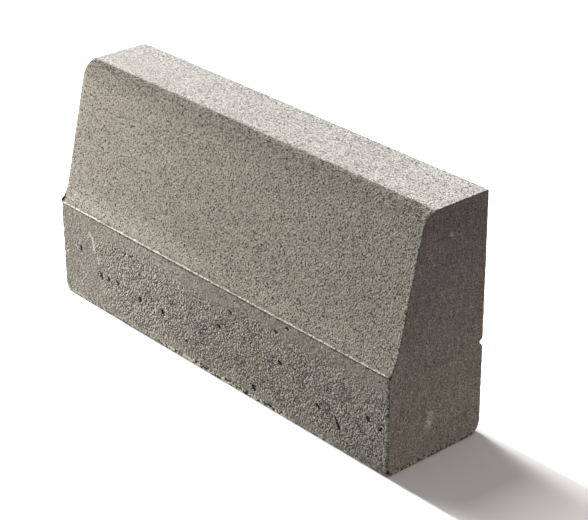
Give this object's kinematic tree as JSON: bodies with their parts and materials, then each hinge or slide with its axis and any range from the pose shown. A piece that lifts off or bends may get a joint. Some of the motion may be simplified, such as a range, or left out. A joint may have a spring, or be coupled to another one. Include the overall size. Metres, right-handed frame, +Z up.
{
  "type": "concrete kerb stone",
  "caption": "Straight concrete kerb stone with a battered front, a rounded nose, a flared knee with a narrow ledge and a thin cast lip, and an upright foot that stands in the road bed.",
  "frame": {"origin": "under the middle of the stone, at the level of its bed", "axes": "+X along the kerb, -Y out of the battered front, +Y out of the back, +Z up"},
  "size_m": [0.5, 0.12, 0.25],
  "materials": {
    "concrete": "matte"
  },
  "bodies": {
    "root": {"kerb_stone": "concrete"}
  },
  "joints": []
}
